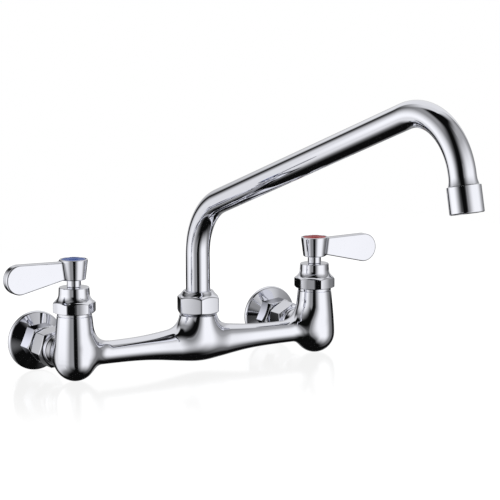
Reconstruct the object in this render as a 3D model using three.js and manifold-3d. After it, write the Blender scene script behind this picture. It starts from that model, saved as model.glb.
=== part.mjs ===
// Commercial wall faucet: two quarter-turn valves on 8 inch centres with lever handles,
// and a 12 inch swinging spout, polished chrome on brass.
// Millimetres, +Z up. The wall is the plane y = 0 and the user stands at -Y.
// The origin is on the wall, midway between the two supply inlets.

import * as THREE from "three";
import { mergeVertices } from "three/addons/utils/BufferGeometryUtils.js";
import Module from "manifold-3d";

// ---- driving dimensions ---------------------------------------------------------------------

const INCH = 25.4;
const CENTRES = 8 * INCH; // inlet to inlet
const REACH = 12 * INCH; // spout axis to the middle of the outlet
const WALL_TO_BARREL = 69; // wall to the line of the valve axes
const GAP = 0.3; // clearance left between pieces that seat on each other
const ROUND = 24; // sides of a round piece that shows
const INNER = 14; // sides of a small or hidden round piece

// body casting
const BARREL = { radius: 15.25, topRadius: 12.8, low: -3, top: 29.7 };
const BAR = { radius: 8.3, swell: 5.5, swellLength: 33, short: 12, bore: 5.2, boreHalf: 84 };
const HUB = {
  radius: 13.7,
  low: 8,
  shoulder: 20.7,
  top: 31,
  threadRadius: 12,
  bore: 10.2,
  floor: 1,
};
const BOSS = {
  radius: 12,
  back: 10,
  end: 45,
  lipRadius: 10.6,
  lip: 1.4,
  bore: 8.3,
  boreDepth: 12,
};
const FILLET = { barrelToBar: 10.75, lift: 4.25, liftHeight: 8, hubToBar: 12, bossToBody: 7 };
const SEAT = { z: 8, radius: 9.5, chamber: 10.8, chamberLow: 12, threadLow: 21.2, thread: 11.3 };
const WELL = { radius: 5.6, depth: -8 };
const SKIN_STEP = { fine: 4.7, upright: 5.6, along: 9 }; // grid steps of the casting's skin

// nuts: width across flats
const BONNET_FLATS = 28;
const SPOUT_NUT_FLATS = 28;
const COUPLING_FLATS = 26;
const FLANGE_FLATS = 26;

// where each nut was left turned, as the angle of one corner
const LEFT_BONNET_TURN = THREE.MathUtils.degToRad(-73);
const RIGHT_BONNET_TURN = THREE.MathUtils.degToRad(-104);
const SPOUT_NUT_TURN = THREE.MathUtils.degToRad(-111);
const FLANGE_TURN = THREE.MathUtils.degToRad(7);
const LEFT_COUPLING_TURN = THREE.MathUtils.degToRad(13);
const RIGHT_COUPLING_TURN = THREE.MathUtils.degToRad(31);

// handle
const HANDLE = {
  low: 56.1,
  top: 71.15,
  lowRadius: 8.5,
  topRadius: 10.4,
  neckRadius: 5.1,
  neckLow: 51.1,
  bore: 3.95,
  boreTop: 62,
};
const LEVER = {
  rootAt: 6,
  rootLow: 57.5,
  rootHigh: 69.7,
  tipAt: 42.65,
  tipHeight: 59.1,
  tipRadius: 11.35,
  thickness: 7.4,
  edge: 1.2,
};

// spout
const SPOUT = {
  radius: 8.95,
  wall: 1.2,
  foot: 33.6,
  riserTop: 66.6,
  lowBend: 45.4,
  slope: THREE.MathUtils.degToRad(20.1),
  highBend: 43,
  outletTilt: THREE.MathUtils.degToRad(12), // the outlet leans out from straight down
  outletLength: 7.8,
  restSwing: THREE.MathUtils.degToRad(4.8), // photographed a little to the right
};
const AERATOR = { radius: 11.15, length: 17.5, bore: 9.6, lip: 8.4, lipThick: 1.9 };

// ---- colours and finishes --------------------------------------------------------------------

const finish = (color, metalness, roughness) => ({ color, metalness, roughness });
const CHROME = finish(0xd9dadf, 1, 0.05);
const BRASS = finish(0xb5914c, 1, 0.3);
const CERAMIC = finish(0xe9e4d8, 0, 0.25);
const RUBBER = finish(0x1c1c1e, 0, 0.7);
const FIBRE = finish(0x5a2f22, 0, 0.8);
const NYLON = finish(0xe4e2da, 0, 0.5);
const STEEL = finish(0xa9abad, 1, 0.3);
const BLUE = finish(0x2f57b5, 0, 0.2);
const RED = finish(0xb02a2a, 0, 0.2);

// ---- solids ----------------------------------------------------------------------------------

const wasm = await Module();
wasm.setup();

// A closed geometry as a solid for joining and cutting, with its faces turned outwards.
function solid(geometry) {
  const bare = geometry.index ? geometry.toNonIndexed() : geometry.clone();
  bare.deleteAttribute("normal");
  bare.deleteAttribute("uv");
  const merged = mergeVertices(bare, 1e-4);
  const corners = [];
  const index = merged.index.array;
  for (let i = 0; i < index.length; i += 3) {
    const [a, b, c] = [index[i], index[i + 1], index[i + 2]];
    if (a !== b && b !== c && c !== a) corners.push(a, b, c);
  }
  const build = (triangles) =>
    new wasm.Manifold(
      new wasm.Mesh({
        numProp: 3,
        vertProperties: merged.attributes.position.array,
        triVerts: new Uint32Array(triangles),
      }),
    );
  const made = build(corners);
  return made.volume() < 0 ? build(corners.reverse()) : made;
}

// A solid back as a geometry with flat-shaded faces.
function geometryOf(made) {
  const { numProp, numVert, vertProperties, triVerts } = made.getMesh();
  const points = new Float32Array(numVert * 3);
  for (let i = 0; i < numVert; i++) {
    points.set(vertProperties.subarray(i * numProp, i * numProp + 3), i * 3);
  }
  const geometry = new THREE.BufferGeometry();
  geometry.setAttribute("position", new THREE.BufferAttribute(points, 3));
  geometry.setIndex(new THREE.BufferAttribute(triVerts, 1));
  geometry.computeVertexNormals();
  return geometry;
}

// A profile of [radius, height] points turned about Z. It ends on the axis or closes on itself.
function revolve(profile, sides = ROUND) {
  const points = profile.map(([radius, height]) => new THREE.Vector2(radius, height));
  if (profile[0][0] > 0) points.push(points[0].clone());
  return solid(new THREE.LatheGeometry(points, sides).rotateX(Math.PI / 2));
}

const rod = (radius, low, high, sides = INNER) =>
  revolve([[0, low], [radius, low], [radius, high], [0, high]], sides);

const ring = (inner, outer, low, high, sides = INNER) =>
  revolve([[inner, low], [outer, low], [outer, high], [inner, high]], sides);

function block(x, y, z, low) {
  return solid(new THREE.BoxGeometry(x, y, z).translate(0, 0, low + z / 2));
}

// A round ring of round section, such as an O-ring, lying at a height.
function cordRing(radius, cord, height) {
  return solid(new THREE.TorusGeometry(radius, cord, 4, 14).translate(0, 0, height));
}

// A hexagonal bar along Z, with one corner at the angle `turn`.
function hexBar(flats, low, high, turn) {
  const corner = flats / Math.sqrt(3);
  const outline = new THREE.Shape(
    Array.from({ length: 6 }, (_, i) => {
      const angle = turn + (i * Math.PI) / 3;
      return new THREE.Vector2(corner * Math.cos(angle), corner * Math.sin(angle));
    }),
  );
  const bar = new THREE.ExtrudeGeometry(outline, { depth: high - low, bevelEnabled: false });
  return solid(bar.translate(0, 0, low));
}

// A quarter round from one [radius, height] point to another; `bulge` says which comes first:
// "out" leaves along the radius, "up" leaves along the height.
function quarter([r0, z0], [r1, z1], leave, steps = 3) {
  return Array.from({ length: steps + 1 }, (_, i) => {
    const angle = (i / steps) * (Math.PI / 2);
    const [along, across] = [Math.sin(angle), 1 - Math.cos(angle)];
    return leave === "out"
      ? [r0 + (r1 - r0) * along, z0 + (z1 - z0) * across]
      : [r0 + (r1 - r0) * across, z0 + (z1 - z0) * along];
  });
}

function addPiece(parent, name, made, look) {
  const mesh = new THREE.Mesh(geometryOf(made), new THREE.MeshStandardMaterial(look));
  mesh.name = name;
  parent.add(mesh);
  return mesh;
}

// ---- body casting ----------------------------------------------------------------------------

// How far a point is outside the casting's skin, in mm. Each limb of the casting is a round form
// about its own axis, and where two limbs meet the smaller distance is rounded off, which leaves
// the cast fillet between them. The fillet between barrel and bar is fuller above than below.
function blend(a, b, fillet) {
  const overlap = Math.max(fillet - Math.abs(a - b), 0) / fillet;
  return Math.min(a, b) - (overlap * overlap * fillet) / 4;
}

function barrelRadius(z) {
  const rise = Math.max(z - BARREL.low - 2, 0) / (BARREL.top - BARREL.low - 2);
  return BARREL.radius - (BARREL.radius - BARREL.topRadius) * Math.pow(rise, 1.35);
}

function barRadius(x) {
  return BAR.radius + BAR.swell * Math.exp(-Math.pow(x / BAR.swellLength, 2));
}

function castingDistance(x, y, z) {
  const side = Math.abs(x) - CENTRES / 2;
  const depth = y + WALL_TO_BARREL;
  const barrel = Math.hypot(side, depth, Math.min(z - BARREL.low, 0)) - barrelRadius(z);
  const bar = Math.hypot(depth, z, Math.max(side + BAR.short, 0)) - barRadius(x);
  const hub = Math.hypot(x, depth, Math.min(z - HUB.low, 0)) - HUB.radius;
  const boss = Math.hypot(side, z, Math.min(depth - BOSS.back, 0)) - BOSS.radius;
  const lift = FILLET.lift * THREE.MathUtils.clamp(z / FILLET.liftHeight, -1, 1);
  let skin = blend(barrel, bar, FILLET.barrelToBar + lift);
  skin = blend(skin, hub, FILLET.hubToBar);
  skin = blend(skin, boss, FILLET.bossToBody);
  return Math.max(skin, z - BARREL.top - 2, depth + BOSS.end - WALL_TO_BARREL - 2);
}

// Grid lines from one place to the next, each stretch with steps no longer than its own.
function gridLines(start, ...stretches) {
  const lines = [start];
  for (const { to, step } of stretches) {
    const from = lines.at(-1);
    const count = Math.ceil((to - from) / step);
    for (let i = 1; i <= count; i++) lines.push(from + ((to - from) * i) / count);
  }
  return lines;
}

// The surface where a distance function is zero, as a closed mesh: one corner in each grid cell
// that the surface crosses, moved onto the surface, and one four-sided facet round each grid edge
// that it crosses. The grid has its own lines along X, Y and Z.
function skinOf(distance, grid) {
  const count = grid.map((lines) => lines.length);
  const place = (step) => step.map((at, axis) => grid[axis][at]);
  const key = ([i, j, k]) => i + count[0] * (j + count[1] * k);
  const values = new Float64Array(count[0] * count[1] * count[2]);
  const everyStep = (visit) => {
    for (let k = 0; k < count[2]; k++) {
      for (let j = 0; j < count[1]; j++) {
        for (let i = 0; i < count[0]; i++) visit([i, j, k]);
      }
    }
  };
  everyStep((step) => {
    values[key(step)] = distance(...place(step));
  });

  const slope = (point) =>
    point.map((_, axis) => {
      const [ahead, behind] = [point.slice(), point.slice()];
      ahead[axis] += 0.01;
      behind[axis] -= 0.01;
      return (distance(...ahead) - distance(...behind)) / 0.02;
    });
  const shift = (step, axis, by) => step.map((value, other) => value + (other === axis ? by : 0));

  // where the surface crosses each grid edge
  const crossings = new Map();
  everyStep((step) => {
    for (let axis = 0; axis < 3; axis++) {
      if (step[axis] + 1 >= count[axis]) continue;
      const [here, next] = [values[key(step)], values[key(shift(step, axis, 1))]];
      if (here < 0 === next < 0) continue;
      const point = place(step);
      const pitch = grid[axis][step[axis] + 1] - grid[axis][step[axis]];
      point[axis] += (pitch * here) / (here - next);
      crossings.set(key(step) * 3 + axis, { step, axis, point, inside: here < 0 });
    }
  });

  // the cells that share an edge, in order round it
  const cellsRound = ({ step, axis }) => {
    const [u, v] = [(axis + 1) % 3, (axis + 2) % 3];
    return [step, shift(step, u, -1), shift(shift(step, u, -1), v, -1), shift(step, v, -1)];
  };
  const cornerOf = new Map();
  for (const crossing of crossings.values()) {
    for (const cellAt of cellsRound(crossing)) {
      const name = key(cellAt);
      if (!cornerOf.has(name)) cornerOf.set(name, { sum: [0, 0, 0], hits: 0 });
      const corner = cornerOf.get(name);
      corner.sum = corner.sum.map((value, axis) => value + crossing.point[axis]);
      corner.hits += 1;
    }
  }
  const positions = [];
  for (const corner of cornerOf.values()) {
    let point = corner.sum.map((value) => value / corner.hits);
    for (let pass = 0; pass < 3; pass++) {
      const [gap, normal] = [distance(...point), slope(point)];
      const steep = normal.reduce((sum, value) => sum + value * value, 0);
      point = point.map((value, axis) => value - (gap * normal[axis]) / steep);
    }
    corner.index = positions.length / 3;
    positions.push(...point);
  }
  const span = (a, b) =>
    Math.hypot(...[0, 1, 2].map((axis) => positions[3 * a + axis] - positions[3 * b + axis]));
  const triangles = [];
  for (const crossing of crossings.values()) {
    const quad = cellsRound(crossing).map((cellAt) => cornerOf.get(key(cellAt)).index);
    if (!crossing.inside) quad.reverse();
    const [a, b, c, d] = quad;
    if (span(a, c) < span(b, d)) triangles.push(a, b, c, a, c, d);
    else triangles.push(a, b, d, b, c, d);
  }
  const geometry = new THREE.BufferGeometry();
  geometry.setAttribute("position", new THREE.Float32BufferAttribute(positions, 3));
  geometry.setIndex(triangles);
  return geometry;
}

// The same solid under both valve axes, as a list of the two copies.
const atBothBarrels = (made) =>
  [-CENTRES / 2, CENTRES / 2].map((x) => made.translate([x, -WALL_TO_BARREL, 0]));

// A solid drawn along Z, laid along Y so that its z = 0 end is at the wall and it points out to
// the user.
const towardsUser = (made) => made.rotate([90, 0, 0]);

function bodyCasting() {
  const { fine, upright, along } = SKIN_STEP;
  const grid = [
    gridLines(
      -121,
      { to: -82, step: fine },
      { to: -22, step: along },
      { to: 22, step: fine },
      { to: 82, step: along },
      { to: 121, step: fine },
    ),
    gridLines(-88, { to: -54, step: fine }, { to: -40, step: upright }),
    gridLines(-21, { to: 15, step: fine }, { to: 36, step: upright }),
  ];
  let casting = solid(skinOf(castingDistance, grid));

  // flat machined ends: barrel tops, hub shoulder and inlet bosses
  const ends = [
    ...atBothBarrels(rod(20, BARREL.top, BARREL.top + 12)),
    rod(24, HUB.shoulder, HUB.shoulder + 22).translate([0, -WALL_TO_BARREL, 0]),
  ];
  for (const x of [-CENTRES / 2, CENTRES / 2]) {
    ends.push(towardsUser(rod(20, BOSS.end - 12, BOSS.end)).translate([x, 0, 0]));
  }
  for (const end of ends) casting = casting.subtract(end);

  // the hub's threaded neck, and a turned lip on each inlet boss
  casting = casting.add(
    rod(HUB.threadRadius, HUB.shoulder - 8, HUB.top, 20).translate([0, -WALL_TO_BARREL, 0]),
  );
  for (const x of [-CENTRES / 2, CENTRES / 2]) {
    const lip = towardsUser(rod(BOSS.lipRadius, BOSS.end - BOSS.lip, BOSS.end + 4, 20));
    casting = casting.add(lip.translate([x, 0, 0]));
  }

  // valve chambers: the seat, the wider chamber round the cartridge, the bonnet thread on top and
  // the well below the seat
  const chamber = revolve([
    [0, WELL.depth - 2],
    [WELL.radius - 2, WELL.depth - 1.5],
    [WELL.radius, WELL.depth + 1],
    [WELL.radius, SEAT.z],
    [SEAT.radius, SEAT.z],
    [SEAT.radius, SEAT.chamberLow],
    [SEAT.chamber, SEAT.chamberLow + 1],
    [SEAT.chamber, SEAT.threadLow],
    [SEAT.thread, SEAT.threadLow],
    [SEAT.thread, BARREL.top + 1],
    [0, BARREL.top + 1],
  ], INNER);
  const waterways = [...atBothBarrels(chamber)];

  for (const side of [-1, 1]) {
    const x = (side * CENTRES) / 2;
    // inlet: a threaded mouth for the tailpiece, then a channel to the well
    waterways.push(towardsUser(rod(WELL.radius - 0.3, BOSS.end - 2, WALL_TO_BARREL)).translate([x, 0, 0]));
    waterways.push(
      towardsUser(rod(BOSS.bore, BOSS.end - 3, BOSS.end + BOSS.boreDepth)).translate([x, 0, 0]),
    );
    // slanting port from the valve chamber down to the bar
    const top = new THREE.Vector3(side * 93, -WALL_TO_BARREL, 16);
    const foot = new THREE.Vector3(side * 82, -WALL_TO_BARREL, 0.5);
    const port = new THREE.LineCurve3(top, foot);
    const section = new THREE.Shape().absarc(0, 0, 3.2, 0, 2 * Math.PI);
    waterways.push(
      solid(new THREE.ExtrudeGeometry(section, { steps: 1, curveSegments: 4, extrudePath: port })),
    );
  }
  // the bar's channel, and the bore that the spout turns in
  waterways.push(
    rod(BAR.bore, -BAR.boreHalf, BAR.boreHalf).rotate([0, 90, 0]).translate([0, -WALL_TO_BARREL, 0]),
  );
  waterways.push(rod(HUB.bore, HUB.floor, HUB.top + 1, 18).translate([0, -WALL_TO_BARREL, 0]));
  for (const way of waterways) casting = casting.subtract(way);
  return casting;
}

// ---- supply side: flanged inlet, coupling nut, tailpiece and washer ---------------------------
// Drawn along Z, with z the distance out from the wall.

const INLET = {
  discRadius: 22.55,
  rim: 2,
  hexLow: 5.2,
  hexHigh: 20.2,
  pipeBore: 10, // mean radius of a half inch pipe thread
  pipeDepth: 15,
  waterway: 6.2,
  stubRadius: 10.4,
  stubEnd: 27.6,
};
const COUPLING = { back: 23.5, web: 33, hexEnd: 39.3, end: 42.4, thread: 10.8, hole: 8.35, nose: 11.6 };

function flangedInlet() {
  const disc = revolve([
    [0, 0],
    [INLET.discRadius - 0.4, 0],
    [INLET.discRadius, 0.4],
    ...quarter([INLET.discRadius, INLET.rim], [INLET.discRadius - 1.3, INLET.rim + 1.3], "up"),
    [INLET.discRadius - 2.6, INLET.rim + 0.9],
    [15.4, INLET.hexLow],
    [0, INLET.hexLow],
  ], 30);
  const corner = FLANGE_FLATS / Math.sqrt(3);
  const chamfered = revolve([
    [0, INLET.hexLow - 3],
    [corner + 0.2, INLET.hexLow - 3],
    [corner + 0.2, INLET.hexHigh - 1.3],
    [FLANGE_FLATS / 2 - 0.5, INLET.hexHigh],
    [0, INLET.hexHigh],
  ]);
  const hex = hexBar(FLANGE_FLATS, INLET.hexLow - 3, INLET.hexHigh, FLANGE_TURN).intersect(chamfered);
  const stub = revolve([
    [0, INLET.hexLow],
    [INLET.stubRadius, INLET.hexLow],
    [INLET.stubRadius, INLET.stubEnd - 0.8],
    [INLET.stubRadius - 0.8, INLET.stubEnd],
    [0, INLET.stubEnd],
  ], INNER);
  const bore = revolve([
    [0, -1],
    [INLET.pipeBore + 0.6, -1],
    [INLET.pipeBore + 0.6, 0],
    [INLET.pipeBore, 1],
    [INLET.pipeBore - 0.4, INLET.pipeDepth],
    [INLET.waterway, INLET.pipeDepth + 2],
    [INLET.waterway, INLET.stubEnd + 1],
    [0, INLET.stubEnd + 1],
  ], INNER);
  return disc.add(hex).add(stub).subtract(bore);
}

function couplingNut(turn) {
  const corner = COUPLING_FLATS / Math.sqrt(3);
  const outside = revolve([
    [0, COUPLING.back],
    [COUPLING_FLATS / 2 - 0.2, COUPLING.back],
    [corner + 0.2, COUPLING.back + 1.4],
    [corner + 0.2, COUPLING.hexEnd - 2.6],
    [COUPLING_FLATS / 2 - 0.3, COUPLING.hexEnd - 0.4],
    [COUPLING.nose, COUPLING.hexEnd],
    ...quarter([COUPLING.nose, COUPLING.end - 1], [COUPLING.nose - 1, COUPLING.end], "up", 2),
    [0, COUPLING.end],
  ]);
  const inside = revolve([
    [0, COUPLING.back - 1],
    [COUPLING.thread, COUPLING.back - 1],
    [COUPLING.thread, COUPLING.web],
    [COUPLING.hole, COUPLING.web],
    [COUPLING.hole, COUPLING.end + 1],
    [0, COUPLING.end + 1],
  ], INNER);
  const hex = hexBar(COUPLING_FLATS, COUPLING.back, COUPLING.end, turn);
  return hex.intersect(outside).subtract(inside);
}

// Its shoulder sits inside the nut, its thread in the casting's boss.
function tailpiece() {
  const shoulder = COUPLING.web - GAP;
  return revolve([
    [5.6, shoulder - 2.5],
    [10.3, shoulder - 2.5],
    [10.3, shoulder],
    [8, shoulder],
    [8, BOSS.end + BOSS.boreDepth - 1.2],
    [7.2, BOSS.end + BOSS.boreDepth - GAP],
    [5.6, BOSS.end + BOSS.boreDepth - GAP],
  ], INNER);
}

const unionWasher = () => ring(INLET.waterway, 10.3, INLET.stubEnd + GAP, COUPLING.web - GAP - 2.5 - GAP);

// ---- valve: bonnet nut and ceramic cartridge --------------------------------------------------
// Drawn on the valve axis, in the casting's heights.

const BONNET = {
  skirtRadius: 11,
  skirtLow: 21.5,
  collarRadius: 12.6,
  collarLow: 30,
  hexLow: 31.9,
  top: 50.8,
  bore: 8.1,
  ceiling: 45.8,
  hole: 4.2,
};

function bonnetNut(turn) {
  const corner = BONNET_FLATS / Math.sqrt(3);
  const outside = revolve([
    [0, BONNET.skirtLow],
    [BONNET.skirtRadius, BONNET.skirtLow],
    [BONNET.skirtRadius, BONNET.collarLow],
    [BONNET.collarRadius, BONNET.collarLow],
    [BONNET.collarRadius, BONNET.hexLow],
    [BONNET_FLATS / 2, BONNET.hexLow + 0.2],
    [corner + 0.1, BONNET.hexLow + 0.9],
    [corner + 0.1, 39.2],
    [14, 40.6],
    [12.8, 42],
    [12.05, 43.3],
    [11.55, 44.9],
    [11.3, 46.5],
    [11.15, 50],
    [10.6, 50.65],
    [9.9, BONNET.top],
    [0, BONNET.top],
  ]);
  const inside = revolve([
    [0, BONNET.skirtLow - 1],
    [BONNET.bore, BONNET.skirtLow - 1],
    [BONNET.bore, BONNET.ceiling],
    [BONNET.hole, BONNET.ceiling],
    [BONNET.hole, BONNET.top + 1],
    [0, BONNET.top + 1],
  ], INNER);
  return outside.intersect(hexBar(BONNET_FLATS, 20, 52, turn)).subtract(inside);
}

const CARTRIDGE = {
  low: 8.6,
  shoulder: 21.2,
  top: 45.4,
  bodyRadius: 9.2,
  neckRadius: 7.8,
  discBore: 7.6,
  ceiling: 18.8,
  stemBore: 5,
  neckBore: 3.95,
  neckFrom: 40,
};
const DISC = { radius: 7.2, thick: 2.2, port: 5.4, portInner: 1.6, slotHalf: 2.1, slotDepth: 1.1 };
const SEAL_TOP = SEAT.z + GAP + 2;
const FIXED_LOW = SEAL_TOP + GAP;
const MOVING_LOW = FIXED_LOW + DISC.thick + GAP;
const MOVING_TOP = MOVING_LOW + DISC.thick;

function cartridgeHousing() {
  const c = CARTRIDGE;
  const shell = revolve([
    [c.discBore, c.low],
    [c.bodyRadius, c.low],
    [c.bodyRadius, c.shoulder],
    [c.neckRadius, c.shoulder],
    [c.neckRadius, c.top],
    [c.neckBore, c.top],
    [c.neckBore, c.neckFrom],
    [c.stemBore, c.neckFrom],
    [c.stemBore, c.ceiling],
    [c.discBore, c.ceiling],
  ], INNER);
  return shell.subtract(block(22, 6, 3.6, 14.4)); // the two side windows that the water leaves by
}

// Two opposite sector ports let water through when they line up with the other disc's.
function ceramicDisc(low, slotted) {
  const outline = new THREE.Shape().absarc(0, 0, DISC.radius, 0, 2 * Math.PI);
  const half = THREE.MathUtils.degToRad(34);
  for (const middle of [Math.PI / 2, -Math.PI / 2]) {
    const port = new THREE.Path();
    port.absarc(0, 0, DISC.port, middle - half, middle + half);
    port.absarc(0, 0, DISC.portInner, middle + half, middle - half, true);
    port.closePath();
    outline.holes.push(port);
  }
  const made = solid(
    new THREE.ExtrudeGeometry(outline, { depth: DISC.thick, bevelEnabled: false, curveSegments: 6 })
      .translate(0, 0, low),
  );
  if (!slotted) return made;
  const slotFloor = low + DISC.thick - DISC.slotDepth;
  const slot = block(2 * DISC.radius + 2, 2 * DISC.slotHalf, DISC.slotDepth + 1, slotFloor);
  return made.subtract(slot);
}

// The stem's tang turns the upper disc, and its splined head carries the handle.
function cartridgeStem() {
  const shaft = revolve([
    [0, 17],
    [4.7, 17],
    [4.7, 34],
    [3.6, 34.2],
    [3.6, 35.8],
    [4.7, 36],
    [4.7, CARTRIDGE.neckFrom - GAP],
    [3.6, CARTRIDGE.neckFrom - GAP],
    [3.6, 61],
    [3.1, 61.7],
    [0, 61.7],
  ], INNER);
  const tang = block(12, 3.6, 4, MOVING_TOP - DISC.slotDepth + GAP);
  const teeth = 6;
  const spline = new THREE.Shape(
    Array.from({ length: 4 * teeth }, (_, i) => {
      const angle = ((i + 0.5) / (4 * teeth)) * 2 * Math.PI;
      const radius = i % 4 < 2 ? 3.7 : 3.1;
      return new THREE.Vector2(radius * Math.cos(angle), radius * Math.sin(angle));
    }),
  );
  const head = solid(
    new THREE.ExtrudeGeometry(spline, { depth: 6.7, bevelEnabled: false }).translate(0, 0, 55),
  );
  const plain = ring(3.0, 5, 55, 62);
  return shaft.subtract(plain).add(head).add(tang).subtract(rod(2.15, 52, 63, 8));
}

const stemRing = () => cordRing(4.35, 0.5, 35);
const seatSeal = () => ring(4.4, 7.2, SEAT.z + GAP, SEAL_TOP);

// ---- handle ----------------------------------------------------------------------------------
// Drawn on the valve axis, with the lever along +X.

// Where the line from a point touches a circle; `side` is +1 or -1 for the two lines.
function touchPoint(from, centre, radius, side) {
  const reach = Math.hypot(centre.x - from.x, centre.y - from.y);
  const along = Math.atan2(from.y - centre.y, from.x - centre.x);
  return along + side * Math.acos(radius / reach);
}

function lever() {
  const centre = new THREE.Vector2(LEVER.tipAt, LEVER.tipHeight);
  const high = new THREE.Vector2(LEVER.rootAt, LEVER.rootHigh);
  const low = new THREE.Vector2(LEVER.rootAt, LEVER.rootLow);
  const start = touchPoint(low, centre, LEVER.tipRadius, 1) - 2 * Math.PI;
  const end = touchPoint(high, centre, LEVER.tipRadius, -1);
  const outline = new THREE.Shape();
  outline.moveTo(high.x, high.y);
  outline.lineTo(low.x, low.y);
  outline.absarc(centre.x, centre.y, LEVER.tipRadius, start, end, false);
  outline.closePath();
  const paddle = new THREE.ExtrudeGeometry(outline, {
    depth: LEVER.thickness - 2 * LEVER.edge,
    bevelThickness: LEVER.edge,
    bevelSize: LEVER.edge,
    bevelOffset: -LEVER.edge,
    bevelSegments: 2,
    curveSegments: 6,
  });
  // the outline is drawn in X and height, and the paddle's thickness lies along Y
  return solid(paddle.translate(0, 0, LEVER.edge - LEVER.thickness / 2).rotateX(Math.PI / 2));
}

function leverHandle(turn) {
  const h = HANDLE;
  const hub = revolve([
    [0, h.neckLow],
    [h.neckRadius, h.neckLow],
    [h.neckRadius, h.low],
    [h.lowRadius - 0.9, h.low],
    [h.lowRadius - 0.2, h.low + 0.5],
    [h.lowRadius, h.low + 1.1],
    [h.topRadius, h.top - 0.6],
    [h.topRadius - 0.5, h.top],
    [0, h.top],
  ]);
  const inside = revolve([
    [0, h.neckLow - 1],
    [h.bore, h.neckLow - 1],
    [h.bore, h.boreTop],
    [2.3, h.boreTop],
    [2.3, 65.2],
    [4.2, 65.2],
    [4.2, 68.5],
    [9, 68.5],
    [9, h.top + 1],
    [0, h.top + 1],
  ], 16);
  return hub.add(lever()).subtract(inside).rotate([0, 0, turn]);
}

// Round-headed machine screw down into the stem, with a cross recess.
function handleScrew() {
  const shank = revolve([
    [0, 53.2],
    [1.3, 53.2],
    [1.85, 54],
    [1.85, 65.5],
    [3.8, 65.5],
    [3.8, 66.6],
    [2.6, 67.7],
    [0, 68.1],
  ], 10);
  const recess = block(4, 0.9, 3, 66.8).add(block(0.9, 4, 3, 66.8));
  return shank.subtract(recess);
}

// Snap-in disc whose face is dished, on a short hollow skirt.
const indexButton = () =>
  revolve([
    [0, 69.6],
    [7.6, 69.6],
    [7.6, 68.8],
    [8.6, 68.8],
    [8.7, 70.6],
    [8.3, 70.95],
    [7.4, 70.85],
    [4.4, 70.3],
    [0, 70.05],
  ], 16);

// ---- spout -----------------------------------------------------------------------------------

// The middle line of the tube in its own plane: up the riser, over the low bend to the slope, then
// over the high bend and down to the outlet. Each stretch gives its stations; a straight one needs
// only its ends.
function spoutStations() {
  const lean = Math.PI / 2 - SPOUT.slope; // how far the low bend turns the tube from upright
  const fall = SPOUT.slope + Math.PI / 2 - SPOUT.outletTilt; // how far the high bend turns it down
  const tail = SPOUT.outletLength + AERATOR.length;
  const lowRun = SPOUT.lowBend * (1 - Math.cos(lean));
  const highRun = SPOUT.highBend * (Math.sin(SPOUT.slope) + Math.cos(SPOUT.outletTilt));
  const slopeRun = REACH - lowRun - highRun - tail * Math.sin(SPOUT.outletTilt);
  const stations = [];
  const add = (out, up, heading) => stations.push({ out, up, heading });

  add(0, SPOUT.foot, Math.PI / 2);
  for (let i = 0; i <= 6; i++) {
    const turned = (lean * i) / 6;
    const out = SPOUT.lowBend * (1 - Math.cos(turned));
    add(out, SPOUT.riserTop + SPOUT.lowBend * Math.sin(turned), Math.PI / 2 - turned);
  }
  const bendStart = stations.at(-1);
  const peak = { out: bendStart.out + slopeRun, up: bendStart.up + slopeRun * Math.tan(SPOUT.slope) };
  for (let i = 0; i <= 8; i++) {
    const heading = SPOUT.slope - (fall * i) / 8;
    const out = peak.out + SPOUT.highBend * (Math.sin(SPOUT.slope) - Math.sin(heading));
    const up = peak.up + SPOUT.highBend * (Math.cos(heading) - Math.cos(SPOUT.slope));
    add(out, up, heading);
  }
  const last = stations.at(-1);
  const { outletLength } = SPOUT;
  add(
    last.out + outletLength * Math.cos(last.heading),
    last.up + outletLength * Math.sin(last.heading),
    last.heading,
  );
  return stations;
}

// The middle line as a curve that is sampled at its stations and nowhere else.
class SpoutLine extends THREE.Curve {
  constructor(stations) {
    super();
    this.stations = stations;
  }
  station(u) {
    return this.stations[Math.round(u * (this.stations.length - 1))];
  }
  getPoint(u) {
    const { out, up } = this.station(u);
    return new THREE.Vector3(0, -out, up);
  }
  getPointAt(u) {
    return this.getPoint(u);
  }
  getTangentAt(u) {
    const { heading } = this.station(u);
    return new THREE.Vector3(0, -Math.cos(heading), Math.sin(heading));
  }
}

const line = new SpoutLine(spoutStations());

function tubeAlong(radius, halfSides) {
  const section = new THREE.Shape().absarc(0, 0, radius, 0, 2 * Math.PI);
  return solid(
    new THREE.ExtrudeGeometry(section, {
      steps: line.stations.length - 1,
      curveSegments: halfSides,
      extrudePath: line,
    }),
  );
}

// The outlet's own frame: origin at the aerator's top, +Z down along the outlet.
const outlet = new THREE.Group();
outlet.position.copy(line.getPoint(1));
outlet.quaternion.setFromUnitVectors(new THREE.Vector3(0, 0, 1), line.getTangentAt(1));
outlet.updateMatrix();

const inOutletFrame = (made) => made.transform(outlet.matrix.toArray());

function spoutTube() {
  const collar = revolve([
    [0, -6.5],
    [SPOUT.radius - 0.5, -6.5],
    [SPOUT.radius, -5.5],
    [SPOUT.radius + 0.25, -3.5],
    [SPOUT.radius + 1.05, -GAP],
    [9.2, -GAP],
    [9.2, 7],
    [0, 7],
  ], 20);
  const through = rod(SPOUT.radius - SPOUT.wall - 0.2, -9, 8);
  return tubeAlong(SPOUT.radius, 10)
    .add(inOutletFrame(collar))
    .subtract(tubeAlong(SPOUT.radius - SPOUT.wall, 6))
    .subtract(inOutletFrame(through));
}

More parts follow.
